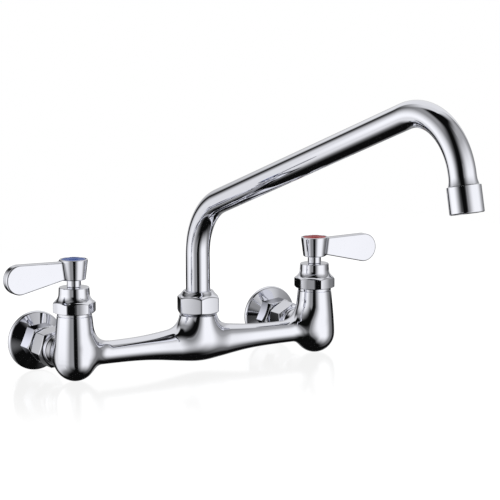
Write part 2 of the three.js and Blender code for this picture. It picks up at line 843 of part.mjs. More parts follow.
// Brazed into the foot of the tube: a spigot inside it, a shoulder under it, and the grooved plug
// that turns in the hub.
const spoutBushing = () =>
  revolve([
    [5.5, 5],
    [9.4, 5],
    [10, 5.8],
    [10, 9],
    [8.2, 9],
    [8.2, 11.4],
    [10, 11.4],
    [10, 18],
    [8.2, 18],
    [8.2, 20.4],
    [10, 20.4],
    [10, HUB.top + GAP],
    [10.9, HUB.top + GAP],
    [10.9, SPOUT.foot - GAP],
    [7.4, SPOUT.foot - GAP],
    [7.4, 44],
    [5.5, 44],
  ], 14);

const spoutRing = (height) => cordRing(9.2, 0.8, height);

// A split collar between the bushing's shoulder and the nut.
function retainingRing() {
  const whole = ring(9.35, 11.7, SPOUT.foot, SPOUT.foot + 1.6, 16);
  return whole.subtract(block(4, 2, 4, SPOUT.foot - 1).translate([10.5, 0, 0]));
}

function spoutNut() {
  const corner = SPOUT_NUT_FLATS / Math.sqrt(3);
  const low = HUB.shoulder + GAP;
  const outside = revolve([
    [0, low],
    [13.7, low],
    [14, low + 1.1],
    [corner + 0.1, low + 2.2],
    [corner + 0.1, 34.2],
    [13.7, 35.7],
    [11.5, 38.3],
    [11.2, 39],
    [0, 39],
  ]);
  const inside = revolve([
    [0, low - 1],
    [HUB.threadRadius + GAP, low - 1],
    [HUB.threadRadius + GAP, SPOUT.foot + 1.9],
    [9.3, SPOUT.foot + 1.9],
    [9.3, 40],
    [0, 40],
  ], 16);
  return outside.intersect(hexBar(SPOUT_NUT_FLATS, low, 39, SPOUT_NUT_TURN)).subtract(inside);
}

// ---- aerator, drawn in the outlet's frame ------------------------------------------------------

function aeratorHousing() {
  const a = AERATOR;
  return revolve([
    [a.bore, 0],
    [a.radius - 0.3, 0],
    [a.radius, 0.3],
    ...quarter([a.radius, a.length - 1], [a.radius - 1, a.length], "up"),
    [a.lip, a.length],
    [a.lip, a.length - a.lipThick],
    [a.bore, a.length - a.lipThick],
  ]);
}

const aeratorWasher = () => ring(6.2, 9.2, 7.3, 9.1);
const aeratorScreen = () => ring(1.2, 8.9, 9.4, 9.9);

// Flow straightener: a plug with a ring of holes round a middle one.
function aeratorInsert() {
  const top = 10.2;
  const step = AERATOR.length - AERATOR.lipThick - GAP;
  const holed = (radius) => {
    const outline = new THREE.Shape().absarc(0, 0, radius, 0, 2 * Math.PI);
    const centres = [[0, 0]];
    for (let i = 0; i < 6; i++) {
      const angle = (i * Math.PI) / 3;
      centres.push([4.7 * Math.cos(angle), 4.7 * Math.sin(angle)]);
    }
    for (const [x, y] of centres) {
      outline.holes.push(new THREE.Path().absarc(x, y, 1.7, 0, 2 * Math.PI, true));
    }
    return outline;
  };
  const length = AERATOR.length - 0.4 - top;
  const outline = holed(9.2);
  const plug = new THREE.ExtrudeGeometry(outline, {
    depth: length,
    bevelEnabled: false,
    curveSegments: 4,
  });
  const neck = ring(8, 12, step, AERATOR.length + 1, 20);
  return solid(plug.translate(0, 0, top)).subtract(neck);
}

// ---- assembly --------------------------------------------------------------------------------

const faucet = new THREE.Group();
addPiece(faucet, "body_casting", bodyCasting(), CHROME);

const sides = [
  {
    name: "left",
    x: -CENTRES / 2,
    leverTurn: 180,
    bonnetTurn: LEFT_BONNET_TURN,
    couplingTurn: LEFT_COUPLING_TURN,
    index: BLUE,
  },
  {
    name: "right",
    x: CENTRES / 2,
    leverTurn: 0,
    bonnetTurn: RIGHT_BONNET_TURN,
    couplingTurn: RIGHT_COUPLING_TURN,
    index: RED,
  },
];

for (const side of sides) {
  const supply = new THREE.Group();
  supply.position.set(side.x, 0, 0);
  supply.rotation.x = Math.PI / 2;
  faucet.add(supply);
  addPiece(supply, `flanged_inlet_${side.name}`, flangedInlet(), CHROME);
  addPiece(supply, `coupling_nut_${side.name}`, couplingNut(side.couplingTurn), CHROME);
  addPiece(supply, `inlet_tailpiece_${side.name}`, tailpiece(), BRASS);
  addPiece(supply, `union_washer_${side.name}`, unionWasher(), FIBRE);

  const valve = new THREE.Group();
  valve.position.set(side.x, -WALL_TO_BARREL, 0);
  faucet.add(valve);
  addPiece(valve, `seat_seal_${side.name}`, seatSeal(), RUBBER);
  addPiece(valve, `fixed_disc_${side.name}`, ceramicDisc(FIXED_LOW, false), CERAMIC);
  addPiece(valve, `moving_disc_${side.name}`, ceramicDisc(MOVING_LOW, true), CERAMIC);
  addPiece(valve, `cartridge_housing_${side.name}`, cartridgeHousing(), BRASS);
  addPiece(valve, `cartridge_stem_${side.name}`, cartridgeStem(), BRASS);
  addPiece(valve, `stem_o_ring_${side.name}`, stemRing(), RUBBER);
  addPiece(valve, `bonnet_nut_${side.name}`, bonnetNut(side.bonnetTurn), CHROME);
  addPiece(valve, `handle_${side.name}`, leverHandle(side.leverTurn), CHROME);
  addPiece(valve, `handle_screw_${side.name}`, handleScrew(), STEEL);
  addPiece(valve, `index_button_${side.name}`, indexButton(), side.index);
}

const spoutPost = new THREE.Group();
spoutPost.position.set(0, -WALL_TO_BARREL, 0);
faucet.add(spoutPost);
addPiece(spoutPost, "spout_nut", spoutNut(), CHROME);
addPiece(spoutPost, "retaining_ring", retainingRing(), NYLON);

const spout = new THREE.Group();
spout.rotation.z = SPOUT.restSwing;
spoutPost.add(spout);
addPiece(spout, "spout_tube", spoutTube(), CHROME);
addPiece(spout, "spout_bushing", spoutBushing(), BRASS);
addPiece(spout, "spout_o_ring_low", spoutRing(10.2), RUBBER);
addPiece(spout, "spout_o_ring_high", spoutRing(19.2), RUBBER);
spout.add(outlet);
addPiece(outlet, "aerator_housing", aeratorHousing(), CHROME);
addPiece(outlet, "aerator_washer", aeratorWasher(), RUBBER);
addPiece(outlet, "aerator_screen", aeratorScreen(), STEEL);
addPiece(outlet, "aerator_insert", aeratorInsert(), NYLON);

export default faucet;
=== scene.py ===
import math

import bmesh
import bpy
import numpy as np
from mathutils import Matrix, Vector


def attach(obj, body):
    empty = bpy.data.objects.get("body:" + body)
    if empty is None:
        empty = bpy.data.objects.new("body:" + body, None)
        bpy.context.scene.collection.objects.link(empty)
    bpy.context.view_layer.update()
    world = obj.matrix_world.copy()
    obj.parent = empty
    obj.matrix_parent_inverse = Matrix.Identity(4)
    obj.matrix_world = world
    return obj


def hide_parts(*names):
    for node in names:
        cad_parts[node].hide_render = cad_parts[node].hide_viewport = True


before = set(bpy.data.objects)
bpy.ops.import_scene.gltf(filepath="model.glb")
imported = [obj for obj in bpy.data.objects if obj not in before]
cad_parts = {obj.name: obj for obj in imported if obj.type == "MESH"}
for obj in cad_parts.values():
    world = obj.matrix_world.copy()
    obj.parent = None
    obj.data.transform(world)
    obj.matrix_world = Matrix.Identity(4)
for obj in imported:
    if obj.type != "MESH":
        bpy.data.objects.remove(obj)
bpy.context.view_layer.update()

# Lengths are in millimetres until a piece becomes a mesh, then in metres.
MM = 0.001

CENTRES = 203.2
WALL_TO_BARREL = 69.0
VALVE_X = {"left": -CENTRES / 2, "right": CENTRES / 2}

# ---- meshes from arrays -----------------------------------------------------------------------
# A sheet is a dict of points, the faces between them and the outward normal at each point.

WELD_STEPS = 2e3  # to a millimetre: points in the same step become one


def unit(vectors):
    """Each vector divided by its own length."""
    return vectors / np.maximum(np.linalg.norm(vectors, axis=-1, keepdims=True), 1e-12)


def sheet(points, normals):
    """A grid of points, rows by columns, as four-sided faces between neighbours. The last column
    joins the first. The faces are turned to the side that the normals point to."""
    rows, columns = points.shape[:2]
    here = np.arange(rows * columns).reshape(rows, columns)
    across = np.roll(here, -1, axis=1)
    faces = np.stack([here[:-1], across[:-1], across[1:], here[1:]], axis=-1).reshape(-1, 4)
    points, normals = points.reshape(-1, 3), unit(normals.reshape(-1, 3))
    corners = points[faces]
    facing = np.cross(corners[:, 2] - corners[:, 0], corners[:, 3] - corners[:, 1])
    if np.sum(facing * normals[faces].mean(axis=1)) < 0:
        faces = faces[:, ::-1]
    return {"points": points, "faces": faces, "normals": normals}


def moved(part, matrix):
    """The same sheet after a 4 by 4 placing matrix, which may mirror it."""
    turn = matrix[:3, :3]
    faces = part["faces"] if np.linalg.det(turn) > 0 else part["faces"][:, ::-1]
    points = part["points"] @ turn.T + matrix[:3, 3]
    return {"points": points, "faces": faces, "normals": unit(part["normals"] @ turn.T)}


def placing(x=0.0, y=0.0, turn=0.0, lay=False):
    """A placing matrix: laid so that its height points out from the wall if asked, then turned
    about the upright axis by turn degrees, then moved."""
    made = Matrix.Translation((x, y, 0)) @ Matrix.Rotation(math.radians(turn), 4, "Z")
    if lay:
        made = made @ Matrix.Rotation(math.radians(90), 4, "X")
    return np.array(made)


def piece(name, body, material, parts, replaced):
    """One object from its sheets, in the place of a node of the CAD model. Points that coincide
    become one, a face that loses a corner becomes a triangle, and each face keeps the normals of
    its own sheet, so an edge between two sheets, or between two rows at one place, stays crisp."""
    starts = np.cumsum([0] + [len(p["points"]) for p in parts])
    points = np.concatenate([p["points"] for p in parts])
    normals = np.concatenate([p["normals"] for p in parts])
    faces = np.concatenate([p["faces"] + start for p, start in zip(parts, starts)])
    _, first, merged = np.unique(
        np.round(points * WELD_STEPS).astype(np.int64),
        axis=0,
        return_index=True,
        return_inverse=True,
    )
    corner = merged.reshape(-1)[faces]
    keep = corner != np.roll(corner, 1, axis=1)
    sides = keep.sum(axis=1)
    solid = sides >= 3
    keep, sides, corner, faces = keep[solid], sides[solid], corner[solid], faces[solid]
    mesh = bpy.data.meshes.new(name)
    mesh.vertices.add(len(first))
    mesh.vertices.foreach_set("co", (points[first] * MM).astype(np.float32).ravel())
    mesh.loops.add(int(sides.sum()))
    mesh.loops.foreach_set("vertex_index", corner[keep].astype(np.int32))
    mesh.polygons.add(len(sides))
    mesh.polygons.foreach_set("loop_start", (np.cumsum(sides) - sides).astype(np.int32))
    mesh.update(calc_edges=True)
    mesh.polygons.foreach_set("use_smooth", np.ones(len(sides), bool))
    mesh.normals_split_custom_set(normals[faces[keep]].tolist())
    mesh.materials.append(material)
    made = bpy.data.objects.new(name, mesh)
    bpy.context.scene.collection.objects.link(made)
    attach(made, body)
    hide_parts(replaced)
    return made


# ---- turned forms -----------------------------------------------------------------------------


def rounded(corners, step=10.0):
    """An outline through corner points given as (radius, height, rounding): straight runs joined
    by arcs that touch both, one point for each `step` degrees of arc. The material is on the left
    of the outline, and the normal on its right. Returns points and normals."""
    places = np.array([c[:2] for c in corners], float)
    points, normals = [], []
    count = len(corners)
    for i in range(count):
        before = unit(places[i] - places[i - 1])
        after = unit(places[(i + 1) % count] - places[i])
        if i == 0:
            before = after
        if i == count - 1:
            after = before
        bend = math.atan2(before[0] * after[1] - before[1] * after[0], before @ after)
        radius = corners[i][2] if len(corners[i]) > 2 else 0.0
        start = places[i] - before * radius * abs(math.tan(bend / 2))
        steps = max(1, round(abs(math.degrees(bend)) / step)) if radius else 1
        bends = np.linspace(0, bend, steps + 1)
        cos, sin = np.cos(bends), np.sin(bends)
        along = np.stack([before[0] * cos - before[1] * sin, before[0] * sin + before[1] * cos], 1)
        out = np.stack([along[:, 1], -along[:, 0]], axis=1)
        points.append(start + math.copysign(radius, bend) * (out - out[0]))
        normals.append(out)
    return np.concatenate(points), np.concatenate(normals)


def turned(corners, columns=96, angles=None):
    """A surface of revolution about the height axis: each outline point swept round a circle, at
    the angles given or at so many even ones."""
    points, normals = rounded(corners)
    if angles is None:
        angles = np.linspace(0, 2 * np.pi, columns, endpoint=False)
    return sheet(swept(points, angles), swept(normals, angles))


def swept(outline, angles):
    """Outline rows as (radius, height) at each angle: x = r cos a, y = r sin a, z = height."""
    radius, height = outline[:, :1], outline[:, 1:]
    cos, sin = np.cos(angles)[None], np.sin(angles)[None]
    return np.stack([radius * cos, radius * sin, height + 0 * cos], axis=-1)


def thread(radius, depth, pitch, low, high, columns):
    """The screw thread of a bore: the radius swings by `depth` as a rounded triangle wave of the
    height plus the turn, and fades to the crest at both ends of its run."""
    rows_per_pitch, sharpness = 8, 0.97
    rows = int(math.ceil((high - low) / pitch * rows_per_pitch)) + 1
    angles = np.linspace(0, 2 * np.pi, columns, endpoint=False)

    def surface(height, angle):
        phase = height / pitch + angle / (2 * np.pi)
        wave = np.arcsin(sharpness * np.sin(2 * np.pi * phase)) / np.arcsin(sharpness)
        fade = np.clip((height - low) / pitch, 0, 1) * np.clip((high - height) / pitch, 0, 1)
        r = radius + depth * 0.5 * (1 + wave) * fade
        return np.stack([r * np.cos(angle), r * np.sin(angle), height], axis=-1)

    height, angle = np.meshgrid(np.linspace(low, high, rows), angles, indexing="ij")
    tiny = 1e-3
    along = surface(height + tiny, angle) - surface(height - tiny, angle)
    around = surface(height, angle + tiny) - surface(height, angle - tiny)
    return sheet(surface(height, angle), np.cross(along, around))


# ---- hexagon nuts -----------------------------------------------------------------------------

# Columns along each flat, and round each corner with its two ends.
FLAT_COLUMNS, CORNER_COLUMNS = 17, 8


def hexagon(turn, flats, corner_rounding, crown):
    """Six flats joined by corner arcs, one corner at `turn` degrees: for each column its angle,
    its distance from the axis and its outward normal. Buffing leaves each flat a little round:
    it falls off by `crown` as the square of the way from its middle to its end."""
    face = math.radians(turn + 30) + np.arange(6)[:, None] * math.pi / 3
    lean = 2 * crown / ((flats / 2 - corner_rounding) * math.tan(math.pi / 6))
    reach = (flats / 2 - crown - corner_rounding * math.cos(lean)) / math.cos(math.pi / 6)
    half = reach / 2 + corner_rounding * math.sin(lean)
    share = np.linspace(-1, 1, FLAT_COLUMNS)[None]
    out = flats / 2 - crown * share**2
    flat_x = out * np.cos(face) - half * share * np.sin(face)
    flat_y = out * np.sin(face) + half * share * np.cos(face)
    swing = face + np.linspace(lean, math.pi / 3 - lean, CORNER_COLUMNS)[None, 1:-1]
    arc_x = reach * np.cos(face + math.pi / 6) + corner_rounding * np.cos(swing)
    arc_y = reach * np.sin(face + math.pi / 6) + corner_rounding * np.sin(swing)
    x = np.concatenate([flat_x, arc_x], axis=1).ravel()
    y = np.concatenate([flat_y, arc_y], axis=1).ravel()
    heading = np.concatenate([face + lean * share, swing], axis=1).ravel()
    return np.arctan2(y, x), np.hypot(x, y), np.stack([np.cos(heading), np.sin(heading)], axis=1)


def hexagon_walls(columns, low, high, edge):
    """The six walls of a nut with the turned chamfers that cut them. The radius at each height is
    the lesser of the chamfer's and the hexagon's, rounded off by `edge` where they cross, and the
    rows follow the crossing round. low and high are the chamfers' outlines, as (radius, height)
    points from their narrow ends to a radius past the corners. The normal is the two surfaces'
    normals, weighted as their radii are."""
    angles, reach, flat_normal = columns
    low_radius, low_height = np.array(low, float).T
    high_radius, high_height = np.array(high, float).T
    at_low = np.interp(reach, low_radius, low_height)
    at_high = np.interp(reach, high_radius, high_height)
    start, end = low_height[0], high_height[0]
    margin = 3 * edge  # the rows are close this far on either side of a crossing
    below = at_low - np.minimum(margin, at_low - start)
    above = at_high + np.minimum(margin, end - at_high)
    inner = np.minimum(margin, 0.45 * (at_high - at_low))
    marks = [  # stretches of height, each with its number of rows
        (start + 0 * reach, below, 6),
        (below, at_low + inner, 8),
        (at_low + inner, at_high - inner, 1),
        (at_high - inner, above, 8),
        (above, end + 0 * reach, 8),
    ]
    rows = [a + (b - a) * np.linspace(0, 1, n, endpoint=False)[:, None] for a, b, n in marks]
    height = np.concatenate(rows + [end + 0 * reach[None]])

    heights = np.concatenate([low_height, high_height[::-1]])
    radii = np.concatenate([low_radius, high_radius[::-1]])
    chamfer = np.interp(height, heights, radii)
    tiny = 0.02
    ahead = np.interp(height + tiny, heights, radii)
    behind = np.interp(height - tiny, heights, radii)
    slope = (ahead - behind) / (2 * tiny)
    overlap = np.maximum(edge - np.abs(chamfer - reach), 0) / edge
    radius = np.minimum(chamfer, reach) - overlap**2 * edge / 4
    share = np.where(chamfer < reach, 1 - overlap / 2, overlap / 2)[..., None]
    out = np.stack([np.cos(angles), np.sin(angles)], axis=1)
    level = flat_normal / np.sum(flat_normal * out, axis=1, keepdims=True)
    turned_normal = np.concatenate([out + 0 * share, -slope[..., None]], axis=-1)
    wall_normal = np.concatenate([level + 0 * share, 0 * share], axis=-1)
    points = np.stack([radius * np.cos(angles), radius * np.sin(angles), height], axis=-1)
    return sheet(points, share * turned_normal + (1 - share) * wall_normal)


def outline_of(corners, step=8.0):
    """A chamfer's outline with its roundings drawn in."""
    return rounded(corners, step=step)[0]


# ---- the body casting -------------------------------------------------------------------------

BARREL_RADIUS, BARREL_NARROWS, BARREL_ROUND_TO = 15.25, 2.45, -3
TAPER_FROM, TAPER_LENGTH, TAPER_POWER = -1, 30.7, 1.35
BAR_RADIUS, BAR_SWELL, SWELL_LENGTH, BAR_ENDS = 8.3, 5.5, 33, 12
HUB_RADIUS, HUB_ROUND_TO = 13.7, 8
BOSS_RADIUS, BOSS_ROUND_TO = 12, 10
BAR_FILLET, FILLET_LIFT, LIFT_HEIGHT = 10.75, 4.25, 8
HUB_FILLET, BOSS_FILLET = 12, 7
BARREL_TOP, HUB_SHOULDER, HUB_TOP, BOSS_END = 29.7, 20.7, 31, 45
CUT_REACH = 4  # a flat cut leaves alone what is further inside its plane
# The box that the casting's grid fills, and the grid's spacing.
CASTING_LOW, CASTING_HIGH, CASTING_PITCH = (-119, -87, -20.5), (119, -42, 33), 1.05

SKIN_PULLS = 4  # moves of each point onto its surface
SAME_PLACE = 1e-4  # a cut closer than this to a point goes through it
ON_PLANE, FACES_PLANE = 2e-3, 0.999  # how near, and how straight on, an end face is


def blend(a, b, fillet):
    """The lesser of two distances, less a fillet where they are alike: a quarter of the fillet
    times the square of how far they overlap it."""
    overlap = np.maximum(fillet - np.abs(a - b), 0) / fillet
    return np.minimum(a, b) - overlap**2 * fillet / 4


def casting_distance(x, y, z):
    """How far a point is outside the casting. Each limb is round about its own axis: the barrels
    taper upwards from a round bottom, the bar swells towards the hub as a bell curve of its
    length, and the hub and the inlet bosses are plain. The bar, the hub and the bosses have round
    ends inside the limbs they meet. Limbs meet in cast fillets, and the fillet between barrel and
    bar is fuller above than below."""
    side = np.abs(x) - CENTRES / 2
    depth = y + WALL_TO_BARREL
    rise = np.maximum(z - TAPER_FROM, 0) / TAPER_LENGTH
    barrel_radius = BARREL_RADIUS - BARREL_NARROWS * rise**TAPER_POWER
    bar_radius = BAR_RADIUS + BAR_SWELL * np.exp(-((x / SWELL_LENGTH) ** 2))
    below, past_bar = np.minimum(z - BARREL_ROUND_TO, 0), np.maximum(side + BAR_ENDS, 0)
    under, before = np.minimum(z - HUB_ROUND_TO, 0), np.minimum(depth - BOSS_ROUND_TO, 0)
    barrel = np.sqrt(side**2 + depth**2 + below**2) - barrel_radius
    bar = np.sqrt(depth**2 + z**2 + past_bar**2) - bar_radius
    hub = np.sqrt(x**2 + depth**2 + under**2) - HUB_RADIUS
    boss = np.sqrt(side**2 + z**2 + before**2) - BOSS_RADIUS
    fillet = BAR_FILLET + FILLET_LIFT * np.clip(z / LIFT_HEIGHT, -1, 1)
    return blend(blend(blend(barrel, bar, fillet), hub, HUB_FILLET), boss, BOSS_FILLET)


def gradient(distance, points):
    """The slope of a distance along each axis, from points a hundredth of a millimetre away."""
    tiny = 0.01
    slopes = []
    for axis in range(3):
        step = np.zeros(3)
        step[axis] = tiny
        ahead, behind = (points + step).T, (points - step).T
        slopes.append((distance(*ahead) - distance(*behind)) / (2 * tiny))
    return np.stack(slopes, axis=-1)


def skin(distance, low, high, pitch):
    """The surface where a distance is zero. Each grid cell that the surface crosses holds one
    point: the middle of its edge crossings, moved down the distance's slope onto the surface.
    Each grid edge that is crossed gets the four-sided face between its four cells."""
    lines = [np.arange(a, b + pitch, pitch) for a, b in zip(low, high)]
    grid = np.stack(np.meshgrid(*lines, indexing="ij"), axis=-1)
    value = distance(grid[..., 0], grid[..., 1], grid[..., 2])
    inside = value < 0
    total = np.zeros(grid.shape)
    hits = np.zeros(value.shape)
    crossed = []
    for axis in range(3):
        a, b = np.moveaxis(value, axis, 0)[:-1], np.moveaxis(value, axis, 0)[1:]
        cross = (a < 0) != (b < 0)
        share = np.where(cross, a / np.where(cross, a - b, 1), 0)
        point = np.moveaxis(grid, axis, 0)[:-1].copy()
        point[..., axis] += share * pitch
        pad = [(0, 1)] + [(0, 0)] * 2
        cross = np.moveaxis(np.pad(cross, pad), 0, axis)
        point = np.moveaxis(np.pad(point, pad + [(0, 0)]), 0, axis) * cross[..., None]
        u, v = (axis + 1) % 3, (axis + 2) % 3
        for du in (0, 1):
            for dv in (0, 1):
                total += np.roll(point, (-du, -dv), axis=(u, v))
                hits += np.roll(cross, (-du, -dv), axis=(u, v))
        crossed.append((axis, u, v, np.argwhere(cross)))
    cells = np.argwhere(hits > 0)
    number = np.full(value.shape, -1)
    number[tuple(cells.T)] = np.arange(len(cells))
    points = total[tuple(cells.T)] / hits[tuple(cells.T)][:, None]
    for _ in range(SKIN_PULLS):
        slope = gradient(distance, points)
        here = distance(*points.T)[:, None]
        points = points - here * slope / np.sum(slope**2, axis=1, keepdims=True)
    faces = []
    for axis, u, v, edges in crossed:
        back_u, back_v = np.eye(3, dtype=int)[u], np.eye(3, dtype=int)[v]
        ring = [edges, edges - back_u, edges - back_u - back_v, edges - back_v]
        quads = np.stack([number[tuple(cell.T)] for cell in ring], axis=1)
        leaves = inside[tuple(edges.T)]
        faces.append(np.where(leaves[:, None], quads, quads[:, ::-1]))
    faces = np.concatenate(faces)
    return {"points": points, "faces": faces, "normals": unit(gradient(distance, points))}


def cut_flat(part, distance, planes):
    """Cuts a skin off flat: for each plane, given as a point, a normal and a test of which points
    it may cut, what lies beyond goes and a flat end closes it. Normals on the skin are the
    distance's slope, and on an end the plane's own."""
    shape = bmesh.new()
    corners = [shape.verts.new(p) for p in part["points"].tolist()]
    for face in part["faces"].tolist():
        shape.faces.new([corners[i] for i in face])
    for point, normal, reached in planes:
        near = [f for f in shape.faces if reached(f.calc_center_median())]
        near += [  # a dict drops doubles and keeps the order, so every run makes the same mesh
            *dict.fromkeys(e for f in near for e in f.edges),
            *dict.fromkeys(v for f in near for v in f.verts),
        ]
        cut = bmesh.ops.bisect_plane(
            shape, geom=near, plane_co=point, plane_no=normal, clear_outer=True, dist=SAME_PLACE
        )
        rim = [e for e in cut["geom_cut"] if isinstance(e, bmesh.types.BMEdge)]
        bmesh.ops.holes_fill(shape, edges=rim, sides=0)
    bmesh.ops.triangulate(shape, faces=[f for f in shape.faces if len(f.verts) > 4])
    shape.normal_update()
    shape.verts.index_update()
    points = np.array([v.co for v in shape.verts])
    corner = np.array([[v.index for v in (list(f.verts) + [f.verts[-1]])[:4]] for f in shape.faces])
    facing = np.array([f.normal for f in shape.faces])
    shape.free()
    slope = unit(gradient(distance, points))
    ends = np.zeros(len(corner), bool)
    for point, normal, _ in planes:
        level = np.abs((points - np.array(point)) @ np.array(normal)) < ON_PLANE
        ends |= level[corner].all(axis=1) & (np.abs(facing @ np.array(normal)) > FACES_PLANE)
    walls = {"points": points, "faces": corner[~ends], "normals": slope}
    flats = {
        "points": points[corner[ends]].reshape(-1, 3),
        "faces": np.arange(corner[ends].size).reshape(-1, 4),
        "normals": np.repeat(facing[ends], 4, axis=0),
    }
    return [walls, flats]


def make_casting(material):
    """The casting's skin, cut flat at its machined ends: the tops of the barrels, the shoulder of
    the hub and the backs of the bosses. A turned neck stands on the hub, and a lip on each boss."""
    rough = skin(casting_distance, CASTING_LOW, CASTING_HIGH, CASTING_PITCH)
    inboard = CENTRES / 4
    barrel_from, hub_from = BARREL_TOP - CUT_REACH, HUB_SHOULDER - CUT_REACH
    boss_from = -BOSS_END - CUT_REACH
    planes = [
        ((0, 0, BARREL_TOP), (0, 0, 1), lambda c: abs(c.x) > inboard and c.z > barrel_from),
        ((0, 0, HUB_SHOULDER), (0, 0, 1), lambda c: abs(c.x) < inboard and c.z > hub_from),
        ((0, -BOSS_END, 0), (0, 1, 0), lambda c: c.y > boss_from),
    ]
    parts = cut_flat(rough, casting_distance, planes)
    hub_neck = turned(
        [(9.2, 20.2), (12, 20.2), (12, HUB_TOP, 0.5), (9.2, HUB_TOP), (9.2, 20.2)], columns=64
    )
    parts.append(moved(hub_neck, placing(0, -WALL_TO_BARREL)))
    for x in VALVE_X.values():
        lip = turned(
            [(9, 42.6), (10.6, 42.6, 0.3), (10.6, 45.2), (9, 45.2), (9, 42.6)], columns=64
        )
        parts.append(moved(lip, placing(x, lay=True)))
    return piece("casting_skin", "faucet_body", material, parts, "body_casting")


# ---- nuts and flanges -------------------------------------------------------------------------

# Widths across flats, with the rounding of the corners and the crown that buffing left.
BONNET_HEXAGON = {"flats": 28.9, "corner_rounding": 1.1, "crown": 0.8}
SPOUT_HEXAGON = {"flats": 29.2, "corner_rounding": 2.2, "crown": 0.15}
UNION_HEXAGON = {"flats": 26.3, "corner_rounding": 0.9, "crown": 0.2}
# Past the corners of every hexagon, where the outlines of the chamfers end.
PAST_CORNERS = 17.2
BONNET_TURNS = {"left": -76.5, "right": -101.5}
COUPLING_TURNS = {"left": 13, "right": 31}
SPOUT_NUT_TURN, FLANGE_TURN = -108.8, 7
PIPE_THREAD = {"radius": 9.4, "depth": 0.9, "pitch": 1.81, "low": 0.8, "high": 14.6}


def make_bonnet(side, material):
    """A hexagon under a flared neck: turned foot and neck, with the hexagon's walls between."""
    columns = hexagon(BONNET_TURNS[side], **BONNET_HEXAGON)
    low = outline_of([(13.4, 32), (14, 32.1), (PAST_CORNERS, 33.2)])
    flare = outline_of([(11.15, 47.5), (11.45, 40.95, 7), (PAST_CORNERS, 39.1)], step=4)
    foot = turned(
        [
            (8.2, 21.5),
            (11, 21.5, 0.4),
            (11, 30),
            (12.6, 30, 0.2),
            (12.6, 31.9, 0.2),
            (13.4, 32),
        ],
        angles=columns[0],
    )
    walls = hexagon_walls(columns, low, flare, edge=0.9)
    neck = turned(
        [(11.15, 47.5), (11.0, 50.8, 0.7), (4.4, 50.8, 0.3), (4.4, 46), (8.2, 46), (8.2, 21.5)],
        angles=columns[0],
    )
    place = placing(VALVE_X[side], -WALL_TO_BARREL)
    parts = [moved(p, place) for p in (foot, walls, neck)]
    name = f"bonnet_nut_{side}"
    return piece(f"{name}_fine", "faucet_body", material, parts, name)


def make_spout_nut(material):
    """A hexagon with a short turned ring below and a hollow cone above."""
    columns = hexagon(SPOUT_NUT_TURN, **SPOUT_HEXAGON)
    low = outline_of([(13.2, 21), (13.75, 21.02), (13.95, 22.1), (PAST_CORNERS, 24.0)])
    cone = outline_of([(11.5, 38.35), (13.4, 36, 3.5), (PAST_CORNERS, 33.6)], step=4)
    foot = turned([(12.3, 21), (13.2, 21)], angles=columns[0])
    walls = hexagon_walls(columns, low, cone, edge=1.2)
    mouth = turned(
        [
            (11.5, 38.35),
            (11.3, 38.6, 0.3),
            (11.1, 39, 0.3),
            (9.4, 39, 0.3),
            (9.4, 35.5),
            (12.3, 35.5),
            (12.3, 21),
        ],
        angles=columns[0],
    )
    parts = [moved(p, placing(0, -WALL_TO_BARREL)) for p in (foot, walls, mouth)]
    return piece("spout_nut_fine", "faucet_body", material, parts, "spout_nut")


def make_flanged_inlet(side, material):
    """The wall disc with its rounded rim, the hexagon in front of it, and the stub inside the
    coupling nut. From behind, the pipe thread shows in its bore."""
    columns = hexagon(FLANGE_TURN, **UNION_HEXAGON)
    disc = turned(
        [
            (10.6, 0),
            (22.35, 0, 0.3),
            (22.55, 2.3, 2.4),
            (13.0, 6.9, 0.4),
            (10.6, 6.9),
            (10.6, 0),
        ],
        columns=128,
    )
    low = outline_of([(12.0, 4.4), (PAST_CORNERS, 4.5)])
    high = outline_of([(12.5, 20.2), (PAST_CORNERS, 18.6)])
    walls = hexagon_walls(columns, low, high, edge=0.6)
    foot = turned([(10.6, 4.4), (12.0, 4.4)], angles=columns[0])
    nose = turned(
        [(12.5, 20.2), (10.4, 20.2), (10.4, 27.6, 0.5), (6.2, 27.6, 0.3), (6.2, 17)],
        angles=columns[0],
    )
    mouth = turned([(6.2, 17), (9.4, 15.2), (9.4, 14.6)], angles=columns[0])
    inside = thread(columns=len(columns[0]), **PIPE_THREAD)
    lead = turned([(9.4, 0.8), (10.6, 0)], columns=len(columns[0]))
    place = placing(VALVE_X[side], lay=True)
    parts = [moved(p, place) for p in (disc, walls, foot, nose, mouth, inside, lead)]
    name = f"flanged_inlet_{side}"
    return piece(f"{name}_fine", "faucet_body", material, parts, name)


def make_coupling(side, material):
    """The union nut: a hexagon with a turned round nose, and a washer ring in front of its web."""
    columns = hexagon(COUPLING_TURNS[side], **UNION_HEXAGON)
    low = outline_of([(12.3, 23.5), (12.8, 23.5), (PAST_CORNERS, 25.6)])
    high = outline_of([(12.1, 39), (12.7, 38.9), (PAST_CORNERS, 36.4)])
    walls = hexagon_walls(columns, low, high, edge=0.6)
    nose = turned(
        [
            (12.1, 39),
            (11.6, 39.2, 0.2),
            (11.6, 42.4, 1.2),
            (10.9, 42.4, 0.2),
            (10.7, 41.6, 0.2),
            (8.35, 41.6),
            (8.35, 33),
            (10.8, 33),
            (10.8, 23.5),
            (12.3, 23.5),
        ],
        angles=columns[0],
    )
    parts = [moved(p, placing(VALVE_X[side], lay=True)) for p in (walls, nose)]
    name = f"coupling_nut_{side}"
    return piece(f"{name}_fine", "faucet_body", material, parts, name)


# ---- handles ----------------------------------------------------------------------------------

CAP_LOW, CAP_HEIGHT, CAP_TOP = 56.1, 15.05, 71.15
